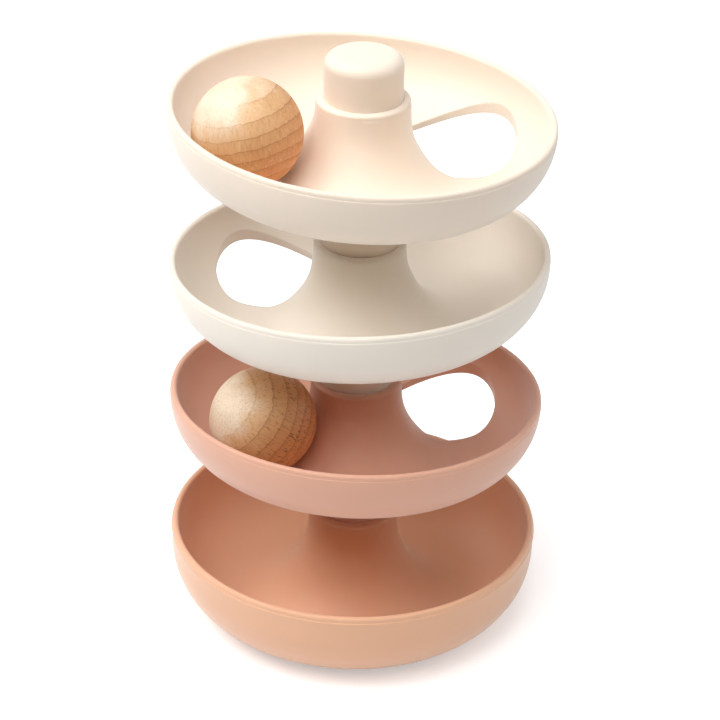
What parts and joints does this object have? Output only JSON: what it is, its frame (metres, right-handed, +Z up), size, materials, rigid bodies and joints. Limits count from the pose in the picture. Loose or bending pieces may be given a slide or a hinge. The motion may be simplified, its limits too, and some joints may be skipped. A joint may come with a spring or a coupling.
{
  "type": "spiral ball tower",
  "caption": "Stacking toy tower of round sloping trays on one upright axis, each with a hole through which wooden balls roll down to the tray below",
  "frame": {"origin": "middle of the base tray's flat foot, on the ground", "axes": "+Z up along the tower's axis; +X to the right and -Y toward the viewer of the picture"},
  "size_m": [0.1742, 0.1741, 0.2849],
  "materials": {
    "terracotta_plastic": "fine matte moulded",
    "rose_plastic": "fine matte moulded",
    "sand_plastic": "fine matte moulded",
    "cream_plastic": "fine matte moulded",
    "beech": "turned and sanded, bare"
  },
  "bodies": {
    "base": {"base_tray": "terracotta_plastic"},
    "lower": {"lower_tray": "rose_plastic", "lower_stem": "rose_plastic"},
    "middle": {"middle_tray": "sand_plastic", "middle_stem": "sand_plastic"},
    "top": {"top_tray": "cream_plastic", "top_stem": "cream_plastic"},
    "cap": {"top_cap": "cream_plastic"},
    "ball_upper": {"ball_upper": "beech"},
    "ball_lower": {"ball_lower": "beech"}
  },
  "joints": [
    {"name": "lower_turn", "type": "hinge", "parent": "base", "child": "lower", "pos_m": [0, 0, 0.0511], "axis": [0, 0, 1], "continuous": true},
    {"name": "middle_turn", "type": "hinge", "parent": "lower", "child": "middle", "pos_m": [0, 0, 0.1221], "axis": [0, 0, 1], "continuous": true},
    {"name": "top_turn", "type": "hinge", "parent": "middle", "child": "top", "pos_m": [0, 0, 0.1931], "axis": [0, 0, 1], "continuous": true},
    {"name": "cap_lift", "type": "slide", "parent": "top", "child": "cap", "axis": [0, 0, 1], "range_m": [0, 0.03]},
    {"name": "ball_upper_roll", "type": "hinge", "parent": "top", "child": "ball_upper", "pos_m": [0, 0, 0.2582], "axis": [0.0515, -0.0091, 0.9986], "range_deg": [-129, 158]},
    {"name": "ball_lower_roll", "type": "hinge", "parent": "lower", "child": "ball_lower", "pos_m": [0, 0, 0.1162], "axis": [0.0179, 0.0492, 0.9986], "range_deg": [-134, 154]}
  ]
}
